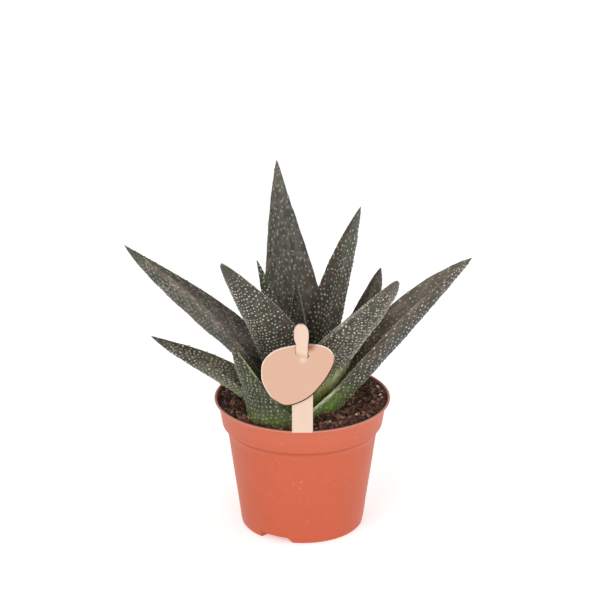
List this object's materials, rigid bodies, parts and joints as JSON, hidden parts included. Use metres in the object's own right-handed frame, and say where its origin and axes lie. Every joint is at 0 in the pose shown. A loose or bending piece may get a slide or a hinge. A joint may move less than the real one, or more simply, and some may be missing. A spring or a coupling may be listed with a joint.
{
  "type": "potted haworthia",
  "caption": "Free-standing potted succulent: a rosette of long keeled, warty leaves in a tapered nursery pot with a collar, with a label stick and disc at its front.",
  "frame": {"origin": "the centre of the pot's flat underside, on the surface it stands on", "axes": "X: to the right as seen from the front; Y: backwards, away from the label; Z: up, along the pot's axis"},
  "size_m": [0.1769, 0.1087, 0.1836],
  "materials": {
    "pot_plastic": "satin",
    "peat": "matte",
    "stem": "matte",
    "leaf_skin": "satin",
    "birch": "matte",
    "kraft_card": "matte"
  },
  "bodies": {
    "root": {"pot": "pot_plastic", "peat": "peat", "stem": "stem", "leaf_heart": "leaf_skin", "leaf_back_left": "leaf_skin", "leaf_back_right": "leaf_skin", "leaf_small_right": "leaf_skin", "leaf_tall_back": "leaf_skin", "leaf_front_right": "leaf_skin", "leaf_front_left": "leaf_skin", "leaf_long_left": "leaf_skin", "leaf_long_right": "leaf_skin", "leaf_low_back": "leaf_skin", "leaf_low_back_right": "leaf_skin", "leaf_low_back_left": "leaf_skin", "leaf_low_left": "leaf_skin", "leaf_short_front": "leaf_skin", "label_stick": "birch", "label_disc": "kraft_card"}
  },
  "joints": []
}
